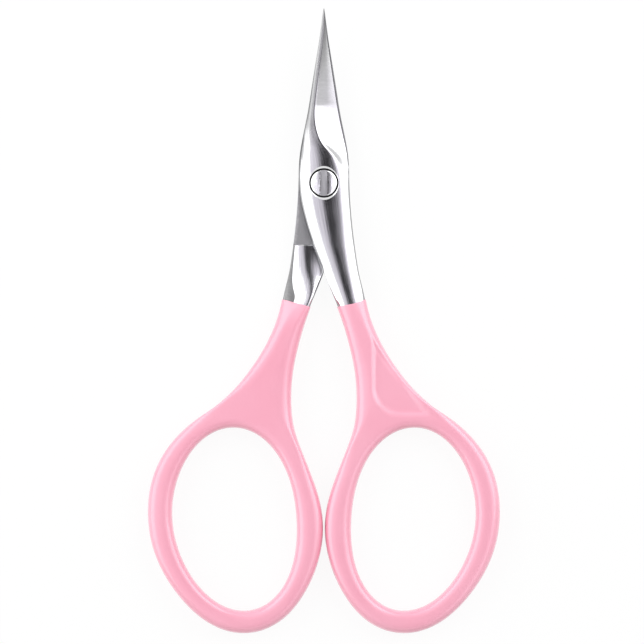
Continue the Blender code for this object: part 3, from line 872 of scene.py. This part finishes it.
# %% Steel
POLISH_FADE = 1.3 * MM
POLISH_WAVER = 0.5 * MM
RIDGE_SHARE = 0.6  # across the flat map, as the next three are
RIDGE_WIDTH_SHARES = (0.02, 0.05)
EDGE_STRIP_SHARES = (0.84, 0.97)
SPINE_STRIP_SHARES = (0.05, 0.12)
SPINE_STRIP_RANGE = (1.0 * MM, 5.0 * MM)
EDGE_DULL_SHARE = 0.5  # how dull the edge stays, of the ground steel beside it
SPINE_DULL_SHARE = 1.2  # over 1, so that no bright streak is left in the strip
PATCH_GRAINS = (300, 300, 300)  # to each metre
PATCH_ROUGHNESS_RANGE = (0.85, 1.2)
STREAK_DEPTH = 0.02 * MM
FINE_GRAINS = (6000, 500, 6000)
FINE_DEPTH = 0.01 * MM
FINE_STRENGTH = 0.12
RIM_SHADE_TINT = (0.15, 0.15, 0.16)  # a dark edge tint: painted shade where the steel turns away from the eye


def flat_place(tree):
    """Where a point lies on the flat map: across it, from spine to edge, and along it."""
    return add_node(tree, "UVMap", {}, uv_map="UVMap").outputs["UV"]


def dull_share(tree, place, across, dull_range, sudden_share):
    """0 on polished and 1 on ground steel, less at the edge and more in the strip along the spine."""
    slow = ranged(tree, place, dull_range, (0, 1 - sudden_share))
    at_once = (dull_range[0], dull_range[0] + POLISH_FADE)
    dull = calculated(tree, "ADD", slow, ranged(tree, place, at_once, (0, sudden_share)))
    edge = ranged(tree, across, EDGE_STRIP_SHARES, (1, EDGE_DULL_SHARE))
    strip = ranged(tree, across, SPINE_STRIP_SHARES, (SPINE_DULL_SHARE, 0))
    strip = calculated(tree, "MULTIPLY", strip, ranged(tree, place, SPINE_STRIP_RANGE))
    return calculated(tree, "MAXIMUM", calculated(tree, "MULTIPLY", dull, edge), strip)


def steel_material(name, colours, roughness_range, streaks, streak_strength, dull_range,
                   sudden_share=0, cloud_range=(-0.1, 0.3), ridge_gloss_share=0):
    """Steel that turns from bright to dull over a range along the blade, a share of it at once."""
    material, tree = new_material(name)
    across = part_of(tree, flat_place(tree), "X")
    patches = noise(tree, PATCH_GRAINS)
    waver = ranged(tree, patches, NOISE_RANGE, (-POLISH_WAVER, POLISH_WAVER))
    place = calculated(tree, "ADD", part_of(tree, object_place(tree), "Y"), waver)
    dull = dull_share(tree, place, across, dull_range, sudden_share)
    streak = noise(tree, streaks, flat_place(tree))
    cloud = calculated(tree, "ADD", ranged(tree, streak, NOISE_RANGE, cloud_range), dull)

    from_ridge = calculated(tree, "ABSOLUTE", calculated(tree, "SUBTRACT", across, RIDGE_SHARE))
    gloss = ranged(tree, from_ridge, RIDGE_WIDTH_SHARES, (ridge_gloss_share, 0))
    no_gloss = calculated(tree, "SUBTRACT", 1, calculated(tree, "MULTIPLY", gloss, dull))
    patchy = ranged(tree, patches, NOISE_RANGE, PATCH_ROUGHNESS_RANGE)
    rough = ranged(tree, dull, (0, 1), roughness_range)
    lines = add_bump(tree, streak, streak_strength, STREAK_DEPTH)
    give(tree, tree.nodes["Principled BSDF"], {
        "Metallic": 1,
        # painted shade: the dark edge tint darkens the reflections at the steel's rims
        "Specular Tint": (*RIM_SHADE_TINT, 1),
        "Base Color": mixed_colour(tree, cloud, *colours),
        "Roughness": calculated(tree, "MULTIPLY", patchy, rough, no_gloss),
        "Normal": add_bump(tree, noise(tree, FINE_GRAINS), FINE_STRENGTH, FINE_DEPTH, lines),
    })
    return material


# %% [markdown]
# ## Four kinds of steel
# The blade towards the tip is only ground, so it is duller, and the polish ends at a line across the
# hollow of the bevel. The faces that look at the other half are ground all over.

# %% Four kinds of steel
DULL_RANGE = (5.6 * MM, 8.8 * MM)  # from the screw's axis: here the polish fades on the spine's side
HOLLOW_DULL_RANGE = (10.5 * MM, 20.0 * MM)  # and here on the hollow, most of it within the first bit
NO_POLISH = (-2 * SHANK_LENGTH, -SHANK_LENGTH)  # ends before the steel starts, so all of it is ground
RIDGE_GLOSS_SHARE = 0.75
ALONG_STREAKS = (70, 9, 1)  # to the whole flat map, across it and along it
ACROSS_STREAKS = (6, 260, 1)
BRIGHT_STEEL = (0.63, 0.63, 0.642)
DULL_STEEL = (0.27, 0.27, 0.274)
HOLLOW_STEEL = (0.29, 0.29, 0.293)
MATT_STEEL = (0.31, 0.31, 0.314)
FLAT_STEEL = (0.18, 0.18, 0.182)

polished = steel_material(
    "polished steel", (BRIGHT_STEEL, DULL_STEEL), (0.15, 0.3), ALONG_STREAKS, 0.4, DULL_RANGE,
    ridge_gloss_share=RIDGE_GLOSS_SHARE,
)
hollow_ground = steel_material(
    "hollow ground steel", (BRIGHT_STEEL, HOLLOW_STEEL), (0.2, 0.36), ACROSS_STREAKS, 0.06,
    HOLLOW_DULL_RANGE, sudden_share=0.92, cloud_range=(-0.05, 0.1), ridge_gloss_share=RIDGE_GLOSS_SHARE,
)
ground = steel_material(
    "ground steel", (BRIGHT_STEEL, MATT_STEEL), (0.5, 0.5), ACROSS_STREAKS, 0.25, NO_POLISH,
)
flat_ground = steel_material(
    "ground flat", (MATT_STEEL, FLAT_STEEL), (0.55, 0.55), ACROSS_STREAKS, 0.3, NO_POLISH,
)
print("nodes in the polished steel:", len(polished.node_tree.nodes))

# %% [markdown]
# ## Screw and seat
# The screw's head was turned, which leaves fine rings, and its slot is worn by screwdrivers: darker streaks
# and dents run along it on both sides, and its right wall has a bright line. Its floor is rougher and is
# painted darker, as shade in the slot. The head's rounded rim and the narrow gap round it are painted
# nearly black, as the shade in the gap. The seat's chamfer is turned too, but unworn.

# %% Screw and seat
SLOT_WEAR_WIDTH = 1.1 * MM  # from the middle of the slot
SLOT_FLOOR = HEAD_TOP - SLOT_DEPTH
SLOT_FLOOR_SHADE_SHARE = 0.45  # how much darker the floor is painted, as shade in the slot, and rougher
BRIGHT_LINE_SHARES = (0.5, 0.7)  # half its width, inner and outer, of the rounding at the slot
RIM_SHADE_STRENGTH = 0.96  # how much darker the head's rim is painted, as the shade in the gap round it
RIM_SHADE_SHARES = (1.6, 1.2)  # from the head's side, of the rounding at its rim
HEAD_STEEL = (0.78, 0.78, 0.79)
# the colour of the wear by the slot, and of the painted shade on the slot's floor
WORN_AND_SHADED_STEEL = (0.2, 0.2, 0.21)
HEAD_ROUGHNESS_RANGE = (0.14, 0.7)
WEAR_ROUGHNESS_SHARE = 0.3
RING_GRAINS = 9000  # to each metre
RING_DEPTH = 0.01 * MM
RING_STRENGTH = 0.08
DENT_GRAINS = (2600, 500, 2600)
DENT_RANGE = (0.5, 0.62)
DENT_DEPTH = 0.02 * MM
DENT_STRENGTH = 0.3
# grains and range of the spots in the painted gap shade
GAP_SHADE_GRAINS = (2500, 2500, 2500)
GAP_SHADE_RANGE = (0.35, 0.65)


def length_of(tree, place):
    return add_node(tree, "VectorMath", {0: place}, operation="LENGTH").outputs["Value"]


def turned_material(name, wear_and_shade_share):
    """Turned steel, with dents and streaks along a slot and painted shade on its floor and the head's rim,
    for a share of 1.
    """
    material, tree = new_material(name)
    place = object_place(tree)
    x, y, z = (part_of(tree, place, axis) for axis in "XYZ")
    side = calculated(tree, "ABSOLUTE", x)
    near_slot = ranged(tree, side, (SLOT_WIDTH / 2, SLOT_WEAR_WIDTH), (wear_and_shade_share, 0))
    dents = ranged(tree, noise(tree, DENT_GRAINS), DENT_RANGE)
    from_line = calculated(tree, "SUBTRACT", x, (SLOT_WIDTH + SLOT_ROUND) / 2)
    from_line = calculated(tree, "ABSOLUTE", from_line)
    beside_line = ranged(tree, from_line, [SLOT_ROUND * share for share in BRIGHT_LINE_SHARES])
    floor_heights = (SLOT_FLOOR, SLOT_FLOOR + SLOT_ROUND)
    over_floor = ranged(tree, z, floor_heights)
    wear = calculated(tree, "MULTIPLY", near_slot, dents, beside_line, over_floor)
    # painted shade: the slot's floor is painted darker, as shade in the recess, and made rougher
    floor = ranged(tree, z, floor_heights, (wear_and_shade_share * SLOT_FLOOR_SHADE_SHARE, 0))
    colour = mixed_colour(tree, calculated(tree, "MAXIMUM", wear, floor), HEAD_STEEL, WORN_AND_SHADED_STEEL)

    from_axis = length_of(tree, add_node(tree, "CombineXYZ", {"X": x, "Y": y}).outputs["Vector"])
    # painted shade: the head's rounded rim is painted nearly black, as the shade in the gap round it
    rim = [HEAD_DIAMETER / 2 - HEAD_ROUND * share for share in RIM_SHADE_SHARES]
    painted_rim_shade = ranged(tree, from_axis, rim, (1, 1 - RIM_SHADE_STRENGTH * wear_and_shade_share))
    rim_shaded_colour = add_node(tree, "VectorMath", {0: colour, "Scale": painted_rim_shade}, operation="SCALE")
    rubbed = calculated(tree, "ADD", calculated(tree, "MULTIPLY", wear, WEAR_ROUGHNESS_SHARE), floor)
    rings = {"W": length_of(tree, place), "Scale": RING_GRAINS}
    rings = add_node(tree, "TexNoise", rings, noise_dimensions="1D").outputs["Fac"]
    turned_lines = add_bump(tree, rings, RING_STRENGTH, RING_DEPTH)
    give(tree, tree.nodes["Principled BSDF"], {
        "Metallic": 1,
        # painted shade: the dark edge tint darkens the reflections at the steel's rims
        "Specular Tint": (*RIM_SHADE_TINT, 1),
        "Base Color": rim_shaded_colour.outputs["Vector"],
        "Roughness": ranged(tree, rubbed, (0, 1), HEAD_ROUGHNESS_RANGE),
        "Normal": add_bump(tree, dents, DENT_STRENGTH, DENT_DEPTH, turned_lines),
    })
    return material


turned_steel = turned_material("turned steel", 1)
bright_chamfer = turned_material("bright chamfer", 0)
# painted shade: a nearly black finish for the seat's wall, as the shade in the narrow gap round the screw's
# head
gap_shade, tree = new_material("painted gap shade")
shade_spots = ranged(tree, noise(tree, GAP_SHADE_GRAINS), GAP_SHADE_RANGE)
give(tree, tree.nodes["Principled BSDF"], {
    "Base Color": mixed_colour(tree, shade_spots, (0.012, 0.011, 0.012), (0.05, 0.045, 0.045)),
    "Roughness": ranged(tree, shade_spots, (0, 1), (0.35, 0.6)),
})
print("nodes in the turned steel:", len(turned_steel.node_tree.nodes))

# %% [markdown]
# ## Pink coat
# The coat is a sprayed, glossy plastic layer. Its surface isn't quite flat, which makes its highlights
# waver, and a very fine orange peel softens them. A clear gloss on top gives sharper bands on the slopes.

# %% Pink coat
CLOUD_GRAINS = (90, 90, 90)  # to each metre
CLOUD_RANGE = (0.35, 0.65)
WAVE_GRAINS = (420, 420, 420)
WAVE_DEPTH = 0.06 * MM
PEEL_GRAINS = (4500, 4500, 4500)
PEEL_DEPTH = 0.01 * MM
DEEP_PINK = (0.93, 0.385, 0.505)
PALE_PINK = (0.945, 0.42, 0.54)

pink, tree = new_material("pink coat")
cloud = ranged(tree, noise(tree, CLOUD_GRAINS), CLOUD_RANGE)
waves = add_bump(tree, noise(tree, WAVE_GRAINS), 0.1, WAVE_DEPTH)
give(tree, tree.nodes["Principled BSDF"], {
    "Base Color": mixed_colour(tree, cloud, DEEP_PINK, PALE_PINK),
    "Roughness": 0.34,
    "Specular IOR Level": 0.85,
    "Normal": add_bump(tree, noise(tree, PEEL_GRAINS), 0.05, PEEL_DEPTH, waves),
    "Coat Weight": 0.7,
    "Coat Roughness": 0.13,
    "Coat Normal": waves,
})
print("nodes in the pink coat:", len(tree.nodes))

# %% [markdown]
# ## Finishes on the pieces
# A face keeps the number of its finish through the smoothing. The flat face that looks at the other half,
# and the seat and chamfer round the screw's head, are found by their place instead.

# %% Finishes on the pieces
SMOOTH_ANGLE = math.radians(32)
FLAT_FACING = 0.9  # how squarely a face of the flat looks at the other half, of 1
CHAMFER_FACING = 0.5
HALF_FINISHES = (polished, ground, hollow_ground, gap_shade, flat_ground, bright_chamfer)
CAGE_FINISHES = {GROUND: flat_ground, HOLLOW: hollow_ground}


def dress(obj, materials, numbers):
    """Gives obj its materials and each face the number of its own."""
    obj.data.materials.clear()
    for material in materials:
        obj.data.materials.append(material)
    only(obj)
    bpy.ops.object.shade_smooth_by_angle(angle=SMOOTH_ANGLE)
    obj.data.polygons.foreach_set("material_index", numbers)
    print(obj.name, "faces by finish:", [numbers.count(number) for number in range(len(materials))])


def finish_of_half(face, side):
    """The finish of a face of the front half, for side 1, or of the rear half, for side -1."""
    centre, normal = face.center, face.normal
    past_seat = centre.xy.length - HEAD_DIAMETER / 2 - SEAT_CLEARANCE
    to_axis = -normal.xy.dot(centre.xy.normalized())
    if side == 1 and past_seat < 4 * SEAT_CHAMFER and min(normal.z, to_axis) > CHAMFER_FACING:
        return bright_chamfer
    in_seat = HEAD_UNDER - 2 * FLOOR_GAP < centre.z < HEAD_EDGE - HEAD_ROUND
    # the seat's wall round the head gets the painted gap shade
    if side == 1 and past_seat < COAT_GAP and in_seat:
        return gap_shade
    level = centre.z - bend_rise(centre.y) - MATING_HEIGHT - side * RUNNING_GAP / 2
    ledge = ROW_PLACE_SHARES[LEDGE_ROW][0] * SHANK_LENGTH
    if abs(level) < 1.5 * FACE_RELIEF and -normal.z * side > FLAT_FACING and centre.y > ledge:
        return ground
    return CAGE_FINISHES.get(face.material_index, polished)


for half, side in ((front, 1), (rear, -1)):
    finishes = [finish_of_half(face, side) for face in half.data.polygons]
    dress(half, HALF_FINISHES, [HALF_FINISHES.index(finish) for finish in finishes])
dress(screw, [turned_steel], [0] * len(screw.data.polygons))
for coat in (front_coat, rear_coat):
    dress(coat, [pink], [0] * len(coat.data.polygons))

# %% [markdown]
# ## Pieces on their bodies
# The pivot turns the front half, its coat with it. Each new piece stands for one piece of the frame.

# %% Pieces on their bodies
pieces = (
    (front, "front_half", "front_blade_half", "polished_steel"),
    (front_coat, "front_half", "front_handle_coat", "pink_coat"),
    (rear, "rear_half", "rear_blade_half", "polished_steel"),
    (rear_coat, "rear_half", "rear_handle_coat", "pink_coat"),
    (screw, "rear_half", "pivot_screw", "polished_steel"),
)
for piece, body, node, slot in pieces:
    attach(piece, body)
    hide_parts(node)
    print(piece.name, "rides on", body)

# %% [markdown]
# ## Paper and world
# The scissors lie on white paper in a white room. The paper is partly a plain white that takes no shadow,
# but only for what the camera and the reflections see, and the world is white in the same way. As a light
# on dull surfaces the world is weaker, so that the two lamps shape them.

# %% Paper and world
TABLE_SIZE = 1.5  # metres
TABLE_GAP = 0.02 * MM  # keeps the paper clear of the flat faces that lie on it
PAPER_COLOUR = (0.95, 0.95, 0.95)
PAPER_GLOW_SHARE = 0.92  # of the paper's look that doesn't depend on the shadow on it
WORLD_LIGHT_SHARE = 0.45  # of the white that the world shows, as light on dull surfaces


def seen_share(tree):
    """1 for what the camera sees, straight, reflected or through glass, and 0 for light on things."""
    rays = add_node(tree, "LightPath", {}).outputs
    seen = [rays[f"Is {kind} Ray"] for kind in ("Camera", "Glossy", "Transmission")]
    return calculated(tree, "MINIMUM", calculated(tree, "ADD", *seen), 1)


bpy.ops.mesh.primitive_plane_add(size=TABLE_SIZE, location=(0, 0, -TABLE_GAP))
table = bpy.context.object
table.name = "table"
paper, tree = new_material("white paper")
surface = tree.nodes["Principled BSDF"]
give(tree, surface, {"Base Color": (*PAPER_COLOUR, 1), "Roughness": 0.9})
glow = add_node(tree, "Emission", {}).outputs["Emission"]
share = calculated(tree, "MULTIPLY", seen_share(tree), PAPER_GLOW_SHARE)
mix = add_node(tree, "MixShader", {"Fac": share, 1: surface.outputs["BSDF"], 2: glow})
give(tree, tree.nodes["Material Output"], {"Surface": mix.outputs["Shader"]})
table.data.materials.append(paper)

world = bpy.data.worlds.new("studio")
world.use_nodes = True
tree = world.node_tree
strength = ranged(tree, seen_share(tree), (0, 1), (WORLD_LIGHT_SHARE, 1))
give(tree, tree.nodes["Background"], {"Color": (1, 1, 1, 1), "Strength": strength})
bpy.context.scene.world = world
print("paper", TABLE_SIZE, "m wide, world light", WORLD_LIGHT_SHARE)

# %% [markdown]
# ## Lamps and card
# The photograph is lit by two large soft lamps. Polished steel shows what it reflects, so its dark band is
# the dark of a card over it: the card's shades run from dark in the middle to white at its sides, which
# gives the band its soft edges. Only reflections see the card, so it takes no light from the coats.

# %% Lamps and card
STAGE_DISTANCE = 0.42  # metres, from the screw to the middle of each lamp
LAMPS = (  # leans from straight up, sizes along the table and up in metres, and brightness of white
    ("left lamp", (-57, 15), (0.7, 0.43), 1.75),
    ("right lamp", (48, 32), (0.48, 0.42), 2.05),
)
CARD_LEANS = (-30, 42)
CARD_REACH = 0.34  # metres, as is its height
CARD_HEIGHT = 0.34
CARD_TINT = (1, 0.96, 1.05)
CARD_SHADES = (  # lean from straight up, and how light the card is there
    (-30, 1.2), (-10, 1), (-6, 0.75), (-3, 0.2), (0, 0.04), (9, 0.02), (14, 0.14), (17, 0.3), (22, 0.8),
    (28, 1.6), (42, 2),
)


def soft_lamp(name, leans, sizes, brightness):
    """A lamp over the table in the direction that leans so many degrees, facing the screw."""
    lamp_data = bpy.data.lights.new(name, "AREA")
    lamp_data.shape = "RECTANGLE"
    lamp_data.size, lamp_data.size_y = sizes
    lamp_data.energy = brightness * math.pi * sizes[0] * sizes[1]
    lamp = bpy.data.objects.new(name, lamp_data)
    way = Vector((*(math.tan(math.radians(lean)) for lean in leans), 1))
    lamp.location = way.normalized() * STAGE_DISTANCE
    lamp.rotation_euler = (-lamp.location).to_track_quat("-Z", "Y").to_euler()
    bpy.context.scene.collection.objects.link(lamp)


def card_place(lean):
    return math.tan(math.radians(lean)) * CARD_HEIGHT


def shaded_card(name):
    """A card over the object that only reflections see, as a photographer holds over polished steel."""
    left, right = (card_place(lean) for lean in CARD_LEANS)
    bpy.ops.mesh.primitive_plane_add(size=UNIT, location=((left + right) / 2, 0, CARD_HEIGHT))
    card = bpy.context.object
    card.name = name
    card.scale = (right - left, 2 * CARD_REACH, 1)
    card.visible_camera = False
    card.visible_diffuse = False
    card.visible_shadow = False
    material, tree = new_material(name)
    across = ranged(tree, part_of(tree, object_place(tree), "X"), (-UNIT / 2, UNIT / 2))
    shades = add_node(tree, "ValToRGB", {"Fac": across})
    for index, (lean, shade) in enumerate(CARD_SHADES):
        share = (card_place(lean) - left) / (right - left)
        stops = shades.color_ramp.elements
        stop = stops[index] if index < 2 else stops.new(share)
        stop.position = share
        stop.color = (*(shade * tint for tint in CARD_TINT), 1)
    glow = add_node(tree, "Emission", {"Color": shades.outputs["Color"]})
    give(tree, tree.nodes["Material Output"], {"Surface": glow.outputs["Emission"]})
    card.data.materials.append(material)


for lamp in LAMPS:
    soft_lamp(*lamp)
shaded_card("shaded card")
print("lamps at", STAGE_DISTANCE, "m, card at", CARD_HEIGHT, "m")
